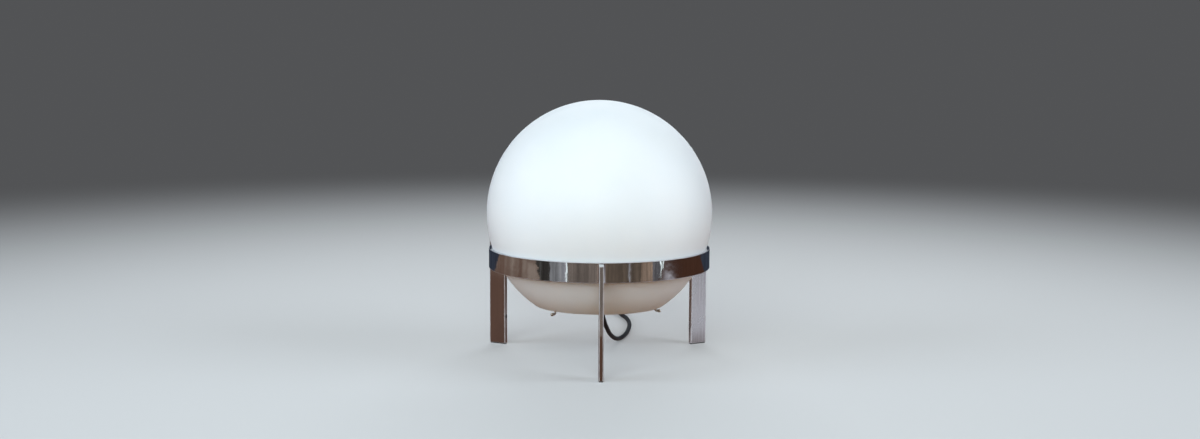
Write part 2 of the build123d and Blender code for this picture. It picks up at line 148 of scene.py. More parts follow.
# Cord, switch and coil
cord_radius = 0.00225
cord_exit = Vector((0.0029, 0.00523, 0.04405))
exit_direction = Vector((0.20, 0.36, -0.91)).normalized()
switch_front = Vector((0.0265, 0.240, 0.00575))
switch_back = Vector((0.0265, 0.288, 0.00575))
switch_collar_radius = 0.0036
switch_collar_length = 0.0018
switch_collar_sunk = 0.0004
switch_collar_round, switch_mouth_round = 0.0007, 0.0003
coil_outer_radius = 0.0385
coil_step = 0.0025                 # from one half turn to the next
coil_half_turns = 8
coil_layer = 0.0050
coil_start = Vector((0.0265, 0.324, cord_radius))
points_per_half_turn = 8
tail_turn = math.radians(50)
tail_radius = 0.025
tail_straight = 0.005

# Tie: the loop's corners along X at its foot and top, and its end's points with their lift in
# thicknesses of the strap
strap_width = 0.008
strap_thickness = 0.0007
strap_round = 0.0002
strap_middle = 0.324
strap_bend = 0.0024
tie_foot, tie_top = (-0.0561, -0.0336), (-0.02405, -0.0466)
tie_end = [(-0.0400, 1.05), (-0.0290, 1.05), (-0.0235, 2.2)]
tie_end_bend = 0.004

# Plug
plug_mouth = 0.00285
plug_neck = 0.012
plug_neck_radius = 0.0046
plug_ribs = 5
plug_rib_depth = 0.0006
plug_rib_share = 0.5
plug_rib_margins = 0.0012, 0.0008  # left plain at the mouth and at the grip
plug_grip = 0.024
plug_shoulder = 0.009
plug_half_width = 0.0105
plug_waist = 0.0006
plug_waist_length = 0.015
plug_edge = 0.0012

# The cord's route from the bushing to the switch, and where it lies on the table and has stopped
# following the globe; and its way out of the switch to the coil's start
lead_landed = Vector((0.0208, 0.0680, cord_radius))
lead_route = [
    cord_exit,
    cord_exit + exit_direction * 0.0085,
    Vector((0.0080, 0.0215, 0.0245)),
    Vector((0.0130, 0.0440, 0.0115)),
    lead_landed,
    Vector((0.0298, 0.0920, cord_radius)),
    Vector((0.0350, 0.1280, cord_radius)),
    Vector((0.0375, 0.1650, cord_radius)),
    Vector((0.0345, 0.2000, cord_radius)),
    Vector((0.0285, 0.2190, cord_radius)),
    Vector((0.0265, 0.2300, 0.00575)),
    switch_front,
]
coil_approach = [
    switch_back,
    switch_back + Vector((0, 0.006, 0)),
    switch_back + Vector((0, 0.016, -0.0021)),
    Vector((0.0265, 0.311, cord_radius)),
    Vector((0.0265, 0.319, cord_radius)),
]


def coil_route():
    """Out of the switch, down to the table, spiral in, up a layer, spiral out and away to the plug.

    Each half turn is an arc whose points stand outside it by one over the cosine of half a step, so
    that the line through their middles has the turn's radius."""
    route = list(coil_approach)
    inward = [coil_outer_radius - coil_step * turn for turn in range(coil_half_turns + 1)]
    angles = (np.arange(points_per_half_turn) + 0.5) * math.pi / points_per_half_turn
    reach = 1 / math.cos(math.pi / points_per_half_turn / 2)
    x, side = coil_start.x, 1
    for turn, radius in enumerate(inward + inward[-2:0:-1]):
        centre = x - side * radius
        climb = np.clip(turn - coil_half_turns + angles / math.pi, 0, 1)
        for angle, height in zip(angles, cord_radius + coil_layer * climb):
            route.append(Vector((
                centre + side * radius * reach * math.cos(angle),
                coil_start.y + side * radius * reach * math.sin(angle),
                height,
            )))
        x, side = centre - side * radius, -side
    bend_start = Vector((x, coil_start.y, cord_radius + coil_layer))
    for share in (0.15, 0.5, 0.85, 1):
        turned_by = tail_turn * share
        route.append(bend_start + Vector((1 - math.cos(turned_by), math.sin(turned_by), 0)) * tail_radius)
    heading = Vector((math.sin(tail_turn), math.cos(tail_turn), 0))
    route.append(route[-1] + heading * tail_straight)
    return route, heading


# ---- Mesh making ---------------------------------------------------------------------------------

holding = 0.15                     # of an arc's radius, from its end to the holding point
sharp_angle = math.radians(50)     # between faces, from which shading breaks


def grid_quads(rows, columns, wrap_rows=False):
    """Quads between neighbours of a grid of points, numbered row by row, closed across its columns."""
    row = np.arange(rows if wrap_rows else rows - 1)
    row, column = np.meshgrid(row, np.arange(columns), indexing="ij")
    next_row, next_column = (row + 1) % rows, (column + 1) % columns
    corners = [(row, column), (row, next_column), (next_row, next_column), (next_row, column)]
    return np.stack([r * columns + c for r, c in corners], axis=-1).reshape(-1, 4)


def new_piece(name, points, quads, caps=(), outward=True):
    """Mesh object at the origin. Points that meet, as at a pole, are merged, and the faces of a closed
    shape are turned outwards."""
    mesh = bpy.data.meshes.new(name)
    mesh.from_pydata(points.reshape(-1, 3).tolist(), [], quads.tolist() + [list(cap) for cap in caps])
    welded = bmesh.new()
    welded.from_mesh(mesh)
    bmesh.ops.remove_doubles(welded, verts=welded.verts, dist=1e-7)
    if outward:
        bmesh.ops.recalc_face_normals(welded, faces=welded.faces)
    welded.to_mesh(mesh)
    welded.free()
    mesh.shade_smooth()
    mesh.set_sharp_from_angle(angle=sharp_angle)
    piece = bpy.data.objects.new(name, mesh)
    bpy.context.scene.collection.objects.link(piece)
    return piece


def capped(name, points):
    """Rows of points joined into a closed shape, with a flat cap at each end."""
    rows, columns = points.shape[:2]
    caps = [range(columns)[::-1], range((rows - 1) * columns, rows * columns)]
    return new_piece(name, points, grid_quads(rows, columns), caps)


def rounded(corners, closed=True, steps=6):
    """Outline through corners (x, y, radius): where a radius is given, an arc that touches both sides
    takes the corner's place. A holding point just past each end of the arc keeps the shading of a flat
    side flat."""
    points = np.array([corner[:2] for corner in corners], float)
    outline = []
    last = len(points) - 1
    for index, (_, _, radius) in enumerate(corners):
        here = points[index]
        if not radius or (not closed and index in (0, last)):
            outline.append(here[None])
            continue
        first, second = unit(points[index - 1] - here), unit(points[(index + 1) % len(points)] - here)
        half = math.acos(np.clip(first @ second, -1, 1)) / 2
        centre = here + unit(first + second) * radius / math.sin(half)
        reach = radius / math.tan(half)
        start, end = here + first * reach - centre, here + second * reach - centre
        share = np.linspace(0, 1, steps + 1)[:, None]
        swing = math.pi - 2 * half
        arc = (np.sin((1 - share) * swing) * start + np.sin(share * swing) * end) / math.sin(swing)
        held = reach + holding * radius
        outline += [(here + first * held)[None], centre + arc, (here + second * held)[None]]
    return np.concatenate(outline)


def unit(vectors):
    """Vectors along the last axis, each brought to length 1."""
    return vectors / np.linalg.norm(vectors, axis=-1, keepdims=True)


def around(count):
    """Angles of a full turn in equal steps."""
    return np.arange(count) * 2 * math.pi / count


def spun(radius, height, angle):
    """Points (r cos a, r sin a, z) of radii and heights at every angle."""
    return np.stack([radius * np.cos(angle), radius * np.sin(angle), height + 0 * angle], axis=-1)


def turned(name, outline, segments=128, closed=True, outward=True):
    """Surface of revolution of an outline (radius, height)."""
    points = spun(outline[:, 0, None], outline[:, 1, None], around(segments))
    return new_piece(name, points, grid_quads(len(outline), segments, wrap_rows=closed), outward=outward)


def notches(turns, share):
    """Rounded notches, 0 to 1 deep, one a turn: the share of the cosine nearest its peak."""
    return np.clip(np.cos(2 * math.pi * turns) - (1 - share), 0, None) / share


def smooth_line(name, route):
    """Points of the order 3 NURBS line whose control points are the route."""
    curve = bpy.data.curves.new(name, "CURVE")
    curve.dimensions = "3D"
    curve.resolution_u = 10
    spline = curve.splines.new("NURBS")
    spline.points.add(len(route) - 1)
    spline.points.foreach_set("co", np.array([[*point, 1.0] for point in route]).ravel())
    spline.order_u = 3
    spline.use_endpoint_u = True
    carrier = bpy.data.objects.new(name, curve)
    bpy.context.scene.collection.objects.link(carrier)
    drawn = bpy.data.meshes.new_from_object(carrier)
    line = np.empty(len(drawn.vertices) * 3)
    drawn.vertices.foreach_get("co", line)
    bpy.data.objects.remove(carrier)
    bpy.data.meshes.remove(drawn)
    return line.reshape(-1, 3)


def carried(line, radii, reference, sides):
    """Points of a round section carried along a line: line + radius (cos a side + sin a up), where side
    is tangent x reference and up is side x tangent."""
    tangent = unit(np.gradient(line, axis=0))
    side = unit(np.cross(tangent, reference))
    up = np.cross(side, tangent)
    angle = -around(sides)[None, :, None]
    reach = np.broadcast_to(np.asarray(radii, float), len(line))[:, None, None]
    return line[:, None] + reach * (np.cos(angle) * side[:, None] + np.sin(angle) * up[:, None])


def swung(points, degrees):
    """Points turned about the lamp's axis."""
    turn = math.radians(degrees)
    spin = np.array([(math.cos(turn), -math.sin(turn), 0), (math.sin(turn), math.cos(turn), 0), (0, 0, 1)])
    return points @ spin.T


def stacked(name, outlines, heights, degrees):
    """Closed shape of outlines (x, y) laid at heights, each point joined to the one above, and swung."""
    levels = np.broadcast_to(np.asarray(heights, float)[:, None, None], (*np.shape(outlines)[:2], 1))
    return capped(name, swung(np.concatenate([np.array(outlines), levels], axis=-1), degrees))


def bar_outline(width, thickness, corner):
    """Rounded rectangle (along, across) about its middle, counter-clockwise."""
    x, y = width / 2, thickness / 2
    return rounded([(x, -y, corner), (x, y, corner), (-x, y, corner), (-x, -y, corner)], steps=5)


# ---- Camera --------------------------------------------------------------------------------------

camera_data = bpy.data.cameras.new("camera")
camera_data.sensor_width = 36
camera_data.lens = 50.55
camera = bpy.data.objects.new("camera", camera_data)
camera.location = (-0.0282, -1.6998, 0.350)
camera.rotation_euler = (math.radians(82.95), math.radians(-0.25), math.radians(-0.940))
bpy.context.scene.collection.objects.link(camera)
bpy.context.scene.camera = camera
bpy.context.scene.view_settings.view_transform = "Standard"

# ---- Shader nodes --------------------------------------------------------------------------------


def add_node(tree, kind, inputs=None, **settings):
    """Node of a kind with its settings, and each input joined to another node's output or given a value."""
    node = tree.nodes.new(kind)
    for name, value in settings.items():
        setattr(node, name, value)
    for name, value in (inputs or {}).items():
        if isinstance(value, bpy.types.NodeSocket):
            tree.links.new(value, node.inputs[name])
        else:
            node.inputs[name].default_value = value
    return node


def own_place(tree):
    """A piece's own coordinates."""
    return add_node(tree, "ShaderNodeTexCoord").outputs["Object"]


def length_of(tree, vector):
    return add_node(tree, "ShaderNodeVectorMath", {0: vector}, operation="LENGTH").outputs["Value"]


def drawn_out(tree, place, scale):
    """Place scaled along each axis, which draws a pattern out where the scale is small."""
    return add_node(tree, "ShaderNodeMapping", {"Vector": place, "Scale": scale}).outputs["Vector"]


def noise(tree, place, scale, detail, **more):
    inputs = {"Vector": place, "Scale": scale, "Detail": detail, **more}
    return add_node(tree, "ShaderNodeTexNoise", inputs).outputs["Fac"]


def spread(tree, value, low=0.0, high=1.0, least=0.0, most=1.0, kind="LINEAR"):
    """Value that goes from least to most as another goes from low to high."""
    limits = {"From Min": low, "From Max": high, "To Min": least, "To Max": most}
    node = add_node(tree, "ShaderNodeMapRange", {"Value": value, **limits}, interpolation_type=kind)
    return node.outputs["Result"]


def joined(tree, operation, first, second):
    """Result of a sum, product or the like of two values."""
    return add_node(tree, "ShaderNodeMath", {0: first, 1: second}, operation=operation).outputs[0]


def between(tree, share, first, second):
    """Colour between two, each of them three numbers or another node's output."""
    colours = [c if isinstance(c, bpy.types.NodeSocket) else (*c, 1) for c in (first, second)]
    inputs = {"Factor": share, "A": colours[0], "B": colours[1]}
    return add_node(tree, "ShaderNodeMix", inputs, data_type="RGBA").outputs["Result"]


# ---- Effects that several finishes share ---------------------------------------------------------

anywhere = (0.0, 0.0, 0.0)


def new_group(name, inputs, output, gives):
    """Empty shader node group with one output. Inputs are names with their first values."""
    group = bpy.data.node_groups.new(name, "ShaderNodeTree")
    for label, value in inputs.items():
        kind = "Float" if isinstance(value, float) else "Color" if len(value) == 4 else "Vector"
        socket = group.interface.new_socket(label, in_out="INPUT", socket_type="NodeSocket" + kind)
        socket.default_value = value
    group.interface.new_socket(output, in_out="OUTPUT", socket_type="NodeSocket" + gives)
    given = group.nodes.new("NodeGroupInput").outputs
    return group, given, group.nodes.new("NodeGroupOutput").inputs[output]


def clouds_group():
    """Soft patches: a mask from 0 to 1, by noise with its middle values spread."""
    group, given, put = new_group("soft_clouds", {"Place": anywhere, "Scale": 10.0}, "Mask", "Float")
    patches = noise(group, given["Place"], given["Scale"], 5.0, Roughness=0.55)
    group.links.new(spread(group, patches, 0.35, 0.65, kind="SMOOTHSTEP"), put)
    return group


def relief_group():
    """Small relief: noise of a scale, raised by a height in metres, as a normal."""
    inputs = {"Place": anywhere, "Scale": 500.0, "Height": 0.0001}
    group, given, put = new_group("small_relief", inputs, "Normal", "Vector")
    grain = noise(group, given["Place"], given["Scale"], 2.0)
    bump = add_node(group, "ShaderNodeBump", {"Height": grain, "Distance": given["Height"]})
    group.links.new(bump.outputs["Normal"], put)
    return group


def scratches_group():
    """Fine straight wear: noise drawn out along one direction, thinned to its peaks."""
    inputs = {"Place": anywhere, "Stretch": (1.0, 1.0, 1.0), "Sparseness": 0.6}
    group, given, put = new_group("fine_scratches", inputs, "Mask", "Float")
    lines = noise(group, drawn_out(group, given["Place"], given["Stretch"]), 1.0, 4.0)
    group.links.new(spread(group, lines, given["Sparseness"], 0.8), put)
    return group


def dust_group():
    """Dust that has settled on what faces up, in patches."""
    inputs = {"Place": anywhere, "Colour": (0.02, 0.02, 0.02, 1.0), "Amount": 0.1}
    group, given, put = new_group("settled_dust", inputs, "Colour", "Color")
    facing = add_node(group, "ShaderNodeNewGeometry").outputs["Normal"]
    upward = add_node(group, "ShaderNodeSeparateXYZ", {"Vector": facing}).outputs["Z"]
    patches = noise(group, given["Place"], 260.0, 6.0)
    patchy = joined(group, "MULTIPLY", spread(group, upward, 0.35, 1.0), patches)
    amount = joined(group, "MULTIPLY", patchy, given["Amount"])
    group.links.new(between(group, amount, given["Colour"], (0.36, 0.34, 0.32)), put)
    return group


soft_clouds, small_relief = clouds_group(), relief_group()
fine_scratches, settled_dust = scratches_group(), dust_group()

# ---- Finishes ------------------------------------------------------------------------------------


class Finish:
    """A material under way: its tree, its Principled shader and the piece's own coordinates."""

    def __init__(self, name, colour, roughness, metallic=0.0):
        self.material = bpy.data.materials.new(name)
        self.material.use_nodes = True
        self.material.diffuse_color = (*colour, 1)
        self.tree = self.material.node_tree
        self.shader = self.tree.nodes["Principled BSDF"]
        self.plain("Base Color", (*colour, 1))
        self.plain("Roughness", roughness)
        self.plain("Metallic", metallic)
        self.place = own_place(self.tree)

    def plain(self, socket, value):
        self.shader.inputs[socket].default_value = value

    def join(self, output, socket):
        self.tree.links.new(output, self.shader.inputs[socket])

    def effect(self, group, **inputs):
        """The one output of a shared effect at the piece's own coordinates."""
        inputs["Place"] = self.place
        return add_node(self.tree, "ShaderNodeGroup", inputs, node_tree=group).outputs[0]

    def clouds(self, scale):
        return self.effect(soft_clouds, Scale=scale)

    def scratches(self, stretch, sparseness):
        return self.effect(fine_scratches, Stretch=stretch, Sparseness=sparseness)

    def tint(self, mask, first, second):
        """Base colour between two colours."""
        colour = between(self.tree, mask, first, second)
        self.join(colour, "Base Color")
        return colour

    def polish(self, mask, least, most):
        """Roughness between two values."""
        self.join(spread(self.tree, mask, least=least, most=most), "Roughness")

    def relief(self, scale, height):
        self.join(self.effect(small_relief, Scale=scale, Height=height), "Normal")

    def dust(self, colour, amount):
        """Base colour under settled dust."""
        self.join(self.effect(settled_dust, Colour=colour, Amount=amount), "Base Color")


def clouded(name, colour, roughness, metallic=1.0, tint=None, polish=None, relief=None):
    """Finish that varies in soft clouds. The tint is the clouds' scale and two colours, the polish their
    scale and two roughnesses, and the relief a scale and a height in metres."""
    skin = Finish(name, colour, roughness, metallic)
    if tint:
        skin.tint(skin.clouds(tint[0]), *tint[1:])
    if polish:
        skin.polish(skin.clouds(polish[0]), *polish[1:])
    if relief:
        skin.relief(*relief)
    return skin


def opal_glass():
    """White glass with an etched satin skin. Light travels some way through its wall."""
    skin = clouded("opal_glass", (0.86, 0.91, 0.93), 0.36, 0.0,
                   (14.0, (0.85, 0.905, 0.93), (0.87, 0.915, 0.93)), (14.0, 0.46, 0.54), (1400.0, 0.00002))
    skin.plain("Specular IOR Level", 0.35)
    skin.plain("Subsurface Weight", 0.6)
    skin.plain("Subsurface Radius", (1.0, 1.0, 1.0))
    skin.plain("Subsurface Scale", 0.006)
    return skin


def chrome(name, haze, waviness):
    """Bright plate over hand-polished bar: a slow waviness in metres, faint lines along the bar, wiped
    clouds and hair scratches. Haze from 0 to 1 is how far its polish is worn to a cloudy grey."""
    plate = Finish(name, (0.74, 0.74, 0.76), 0.05, metallic=1.0)
    worn = plate.clouds(40.0)
    hairs = plate.scratches((1500.0, 1500.0, 60.0), 0.58)
    lines = plate.scratches((520.0, 520.0, 5.0), 0.35)
    plate.polish(joined(plate.tree, "MAXIMUM", worn, hairs), 0.035 + 0.08 * haze, 0.085 + 0.22 * haze)
    dull = 0.66 - 0.06 * haze
    plate.tint(joined(plate.tree, "MAXIMUM", worn, lines), (0.77, 0.77, 0.79), (dull, dull, dull + 0.02))
    plate.relief(75.0, waviness)
    return plate


def zinc_steel():
    """Dull bright plate with a faint blue and straw bloom, as on turned screw-machine parts."""
    plate = clouded("zinc_steel", (0.60, 0.61, 0.63), 0.3, tint=(180.0, (0.58, 0.60, 0.64), (0.64, 0.62, 0.57)))
    plate.polish(plate.scratches((60.0, 60.0, 9000.0), 0.45), 0.24, 0.42)
    return plate


def nickel_blades():
    """Nickel plate on brass, with the brass warm through it on worn spots and drawn scratches."""
    metal = clouded("nickel_blades", (0.66, 0.63, 0.58), 0.22,
                    tint=(220.0, (0.68, 0.66, 0.62), (0.62, 0.55, 0.42)))
    metal.polish(metal.scratches((900.0, 900.0, 4000.0), 0.5), 0.16, 0.34)
    return metal


def soft_plastic(name, colour, roughness, scale, height, dust):
    """Moulded plastic or rubber: a fine mould texture, uneven sheen and a little dust on top."""
    skin = Finish(name, colour, roughness)
    mask = skin.clouds(70.0)
    lighter = tuple(1.35 * value for value in colour)
    skin.dust(skin.tint(mask, colour, lighter), dust)
    skin.polish(mask, roughness - 0.05, roughness + 0.07)
    skin.relief(scale, height)
    return skin


def porcelain():
    """Cream unglazed porcelain with dark specks."""
    cream, speck = (0.80, 0.77, 0.69), (0.35, 0.30, 0.24)
    body = Finish("porcelain", cream, 0.55)
    body.tint(spread(body.tree, noise(body.tree, body.place, 1800.0, 1.0), 0.70, 0.74), cream, speck)
    body.relief(700.0, 0.00003)
    return body


def frosted_glass():
    """Thin bulb glass, powdered white inside."""
    glass = clouded("frosted_glass", (0.92, 0.92, 0.90), 0.42, 0.0,
                    (30.0, (0.93, 0.93, 0.91), (0.88, 0.88, 0.86)), (55.0, 0.36, 0.46))
    glass.plain("Transmission Weight", 0.35)
    return glass


def woven():
    """Black nylon strap: plain weave, its threads raised by crossed waves."""
    strap = Finish("woven_strap", (0.014, 0.014, 0.016), 0.6)
    inputs = {"Vector": strap.place, "Scale": 420.0, "Distortion": 0.6}
    raised = [
        add_node(strap.tree, "ShaderNodeTexWave", inputs, bands_direction=direction).outputs["Fac"]
        for direction in ("X", "Y")
    ]
    crossed = joined(strap.tree, "MULTIPLY", *raised)
    bump = add_node(strap.tree, "ShaderNodeBump", {"Height": crossed, "Distance": 0.00012})
    strap.join(bump.outputs["Normal"], "Normal")
    strap.dust(strap.tint(crossed, (0.010, 0.010, 0.011), (0.024, 0.024, 0.026)), 0.2)
    return strap


# Glass and ceramics
opal, bulb_white, ceramic = opal_glass(), frosted_glass(), porcelain()
black_glass = clouded("vitrite", (0.010, 0.009, 0.012), 0.12, 0.0, polish=(300.0, 0.08, 0.2))
# Pressed black resin, glossy, with a faint brown mottle
resin = clouded("phenolic", (0.014, 0.012, 0.011), 0.2, 0.0,
                (120.0, (0.012, 0.011, 0.011), (0.024, 0.017, 0.013)), (120.0, 0.16, 0.27), (260.0, 0.00003))

# Plate and metals; the bars' eased edges are rubbed to a satin by the buffing wheel and are a lighter tone,
# a painted highlight along them; the spring wire's nickel is a little warm, and brass is browner where it
# has been touched by air
rolled_chrome = chrome("rolled_chrome", 0.0, 0.00012)
mirror, hazy_mirror = chrome("chrome", 0.0, 0.00004), chrome("hazy_chrome", 1.0, 0.00006)
zinc, blade_plate = zinc_steel(), nickel_blades()
# Eased edges: a rougher satin, and a lighter tone than the plate that is a painted highlight
rubbed_highlight_plate = clouded("rubbed_chrome", (0.88, 0.88, 0.90), 0.38, polish=(160.0, 0.32, 0.46), relief=(220.0, 0.00001))
wire_plate = clouded("bright_wire", (0.93, 0.91, 0.85), 0.25, 1.0,
                     (180.0, (0.94, 0.92, 0.87), (0.86, 0.80, 0.68)), (300.0, 0.28, 0.44), (900.0, 0.00001))
yellow_brass = clouded("brass", (0.72, 0.53, 0.24), 0.25, 1.0, (150.0, (0.76, 0.57, 0.27), (0.52, 0.36, 0.16)),
                       (150.0, 0.2, 0.38))
cap_metal = clouded("rolled_aluminium", (0.78, 0.78, 0.77), 0.28, 1.0,
                    (90.0, (0.80, 0.80, 0.79), (0.68, 0.68, 0.67)), (260.0, 0.22, 0.36))
tip_metal = clouded("solder", (0.52, 0.52, 0.53), 0.4, polish=(500.0, 0.32, 0.52), relief=(600.0, 0.00012))

# Plastic, rubber and cloth
cord_skin = soft_plastic("cord_plastic", (0.009, 0.010, 0.012), 0.42, 900.0, 0.00002, 0.05)
plug_skin = soft_plastic("plug_plastic", (0.014, 0.014, 0.015), 0.42, 1300.0, 0.00004, 0.16)
case_skin = soft_plastic("switch_plastic", (0.016, 0.015, 0.015), 0.45, 1600.0, 0.00005, 0.18)
wheel_skin = soft_plastic("wheel_plastic", (0.020, 0.019, 0.018), 0.24, 500.0, 0.00001, 0.05)
pad_rubber = soft_plastic("pad_rubber", (0.030, 0.029, 0.028), 0.75, 1500.0, 0.00006, 0.0)
bushing_rubber = soft_plastic("bushing_rubber", (0.018, 0.018, 0.018), 0.62, 1200.0, 0.00005, 0.12)
core_plastic = soft_plastic("core_plastic", (0.55, 0.54, 0.50), 0.4, 900.0, 0.00002, 0.0)
woven_strap = woven()

# ---- Stage and light -----------------------------------------------------------------------------

lamp_middle = Vector((0, 0, 0.13))
floor_radius, sweep_radius, wall_height = 3.4, 2.6, 3.6
# Floor: the paper's fade to black outwards is a painted fall-off of light; the warm brown paints warm shade on
# the lamp's underside
paper_tone, black, bounce_tone = (0.55, 0.55, 0.545), (0.0, 0.0, 0.0), (0.22, 0.082, 0.004)
near_glow, far_glow = (0.10, 0.10, 0.10), (0.085, 0.087, 0.091)
fade_start, fade_end = 0.25, 2.1
table_front, table_back, table_side, table_level = -0.36, 0.42, 1.25, -0.0003
room_radius, room_low, room_high = 1.5, -1.2, 1.6

# Soft boxes: place, size, power, colour
soft_boxes = {
    "front_box": ((-0.5, -2.4, 1.22), 2.0, 61.0, (0.85, 0.96, 1.0)),
    "left_box": ((-2.2, -0.7, 0.9), 1.6, 35.0, (0.73, 0.84, 0.97)),
    "right_box": ((2.2, -0.7, 0.9), 1.6, 40.0, (0.79, 0.88, 0.98)),
    "top_box": ((0.1, 0.2, 2.6), 2.0, 8.0, (0.91, 0.90, 0.87)),
    "back_box": ((0.2, 2.6, 1.15), 2.0, 54.0, (0.87, 0.94, 1.0)),
}
air_tone, air_strength = (0.86, 0.94, 1.0), 0.10

# Painted reflections: glowing walls that only the chrome sees, as tones, each from a direction up to the next;
# glimmer marks painted glints.
# Directions are in degrees, 0 towards the camera and + to the right.
night_blue, dim_wall, warm_wall = (0.035, 0.043, 0.062), (0.165, 0.136, 0.117), (0.125, 0.095, 0.072)
shade, dark_door, door_gap = (0.02, 0.02, 0.02), (0.036, 0.033, 0.030), (0.085, 0.085, 0.080)
grey_wall, pale_wall, rosy_wall = (0.235, 0.24, 0.25), (0.31, 0.315, 0.34), (0.26, 0.19, 0.143)
dusk, glimmer = (0.11, 0.107, 0.115), (1.0, 1.12, 1.12)
room = [
    (-180, night_blue), (-118, dim_wall), (-70.5, dark_door), (-62.8, door_gap), (-61, dark_door),
    (-51.2, grey_wall), (-38, pale_wall), (-34.6, glimmer), (-33.7, dim_wall), (3, warm_wall),
    (27.2, pale_wall), (29, warm_wall), (40, rosy_wall), (52.5, dusk), (60.9, glimmer), (61.9, shade),
    (63.3, glimmer), (65.1, dim_wall), (118, night_blue),
]
# Paler patches of the glowing table that the chrome reflects, painted reflections: middle, size, turn in
# degrees, tone
painted_reflection_patches = [
    ((-0.62, -0.26), (0.34, 0.13), 0, (0.27, 0.215, 0.18)),
    ((0.0, 0.52), (0.42, 0.42), 0, (0.50, 0.50, 0.51)),
    ((0.39, -0.095), (0.55, 0.165), -32, (0.475, 0.468, 0.505)),
]


def floor_paint():
    """To the camera, pale paper near the lamp whose colour fades outwards to black, a painted fall-off of light,
    leaving an even dark glow of its own, which no light changes. To the lamp's underside it is a darker, warm
    surface: painted warm shade on the underside."""
    paint = Finish("floor_paint", paper_tone, 0.9)
    tree = paint.tree
    outward = spread(tree, length_of(tree, paint.place), fade_start, fade_end, kind="SMOOTHERSTEP")
    seen = add_node(tree, "ShaderNodeLightPath").outputs["Is Camera Ray"]
    # Bounce rays meet the warm brown, painted warm shade on the lamp's underside; the camera meets the paper,
    # whose fade is a painted fall-off
    paint.tint(seen, bounce_tone, between(tree, outward, paper_tone, black))
    paint.join(between(tree, outward, near_glow, far_glow), "Emission Color")
    paint.join(seen, "Emission Strength")
    paint.plain("Specular IOR Level", 0.0)
    return paint.material


def glow_material(name):
    """Material that only gives light, its colour still to be joined."""
    material = bpy.data.materials.new(name)
    material.use_nodes = True
    tree = material.node_tree
    tree.nodes.clear()
    glow = add_node(tree, "ShaderNodeEmission")
    add_node(tree, "ShaderNodeOutputMaterial", {"Surface": glow.outputs["Emission"]})
    return material, tree, glow.inputs["Color"]


def painted_table_reflection():
    """Painted reflection of a table: a glowing sheet that only the chrome sees. Reddish brown: to the left,
    grey-brown streaks that run out from the lamp; to the right, darker with its own grain; and the paler
    patches."""
    material, tree, colour = glow_material("painted_table_reflection")
    place = own_place(tree)
    heading = add_node(tree, "ShaderNodeVectorMath", {0: place}, operation="NORMALIZE").outputs["Vector"]
    rays = spread(tree, noise(tree, heading, 6.0, 3.0), 0.38, 0.62)
    streaks = joined(tree, "MULTIPLY", rays, spread(tree, length_of(tree, place), 0.55, 0.75))
    grain = noise(tree, drawn_out(tree, place, (3, 70, 1)), 1.0, 6.0)
    left_side = between(tree, streaks, (0.124, 0.072, 0.053), (0.27, 0.215, 0.178))
    right_side = between(tree, grain, (0.040, 0.017, 0.010), (0.085, 0.040, 0.026))
    across = add_node(tree, "ShaderNodeSeparateXYZ", {"Vector": place}).outputs["X"]
    shown = between(tree, spread(tree, across, -0.15, 0.25), left_side, right_side)
    for middle, size, turn, tone in painted_reflection_patches:
        patch = add_node(tree, "ShaderNodeMapping", {
            "Vector": place, "Location": (*middle, 0), "Scale": (*size, 1),
            "Rotation": (0, 0, math.radians(turn)),
        }, vector_type="TEXTURE").outputs["Vector"]
        fade = add_node(tree, "ShaderNodeTexGradient", {"Vector": patch}, gradient_type="QUADRATIC_SPHERE")
        shown = between(tree, spread(tree, fade.outputs["Fac"], 0.0, 0.35), shown, tone)
    tree.links.new(shown, colour)
    return material


def painted_room_reflection():
    """Painted reflections: glowing upright bands of light and dark round the lamp, streaked upright, that only
    the chrome sees.
    """
    material, tree, colour = glow_material("painted_room_reflection")
    place = own_place(tree)
    parts = add_node(tree, "ShaderNodeSeparateXYZ", {"Vector": place}).outputs
    angle = joined(tree, "ARCTAN2", parts["X"], joined(tree, "MULTIPLY", parts["Y"], -1.0))
    ramp = add_node(tree, "ShaderNodeValToRGB", {"Fac": spread(tree, angle, -math.pi, math.pi)})
    ramp.color_ramp.interpolation = "CONSTANT"
    stops = ramp.color_ramp.elements
    while len(stops) < len(room):
        stops.new(0.5)
    for stop, (degrees, tone) in zip(stops, room):
        stop.position = (degrees + 180) / 360
        stop.color = (*tone, 1)
    streaks = noise(tree, drawn_out(tree, place, (16, 16, 1.5)), 1.0, 5.0)
    inputs = {0: ramp.outputs["Color"], "Scale": spread(tree, streaks, 0.3, 0.7, 0.5, 1.45)}
    scaled = add_node(tree, "ShaderNodeVectorMath", inputs, operation="SCALE")
    tree.links.new(scaled.outputs["Vector"], colour)
    return material


def only_in_reflections(piece):
    """A studio flag: seen in the chrome, and neither lit upon nor seen itself."""
    for kind in ("camera", "diffuse", "transmission", "shadow", "volume_scatter"):
        setattr(piece, "visible_" + kind, False)


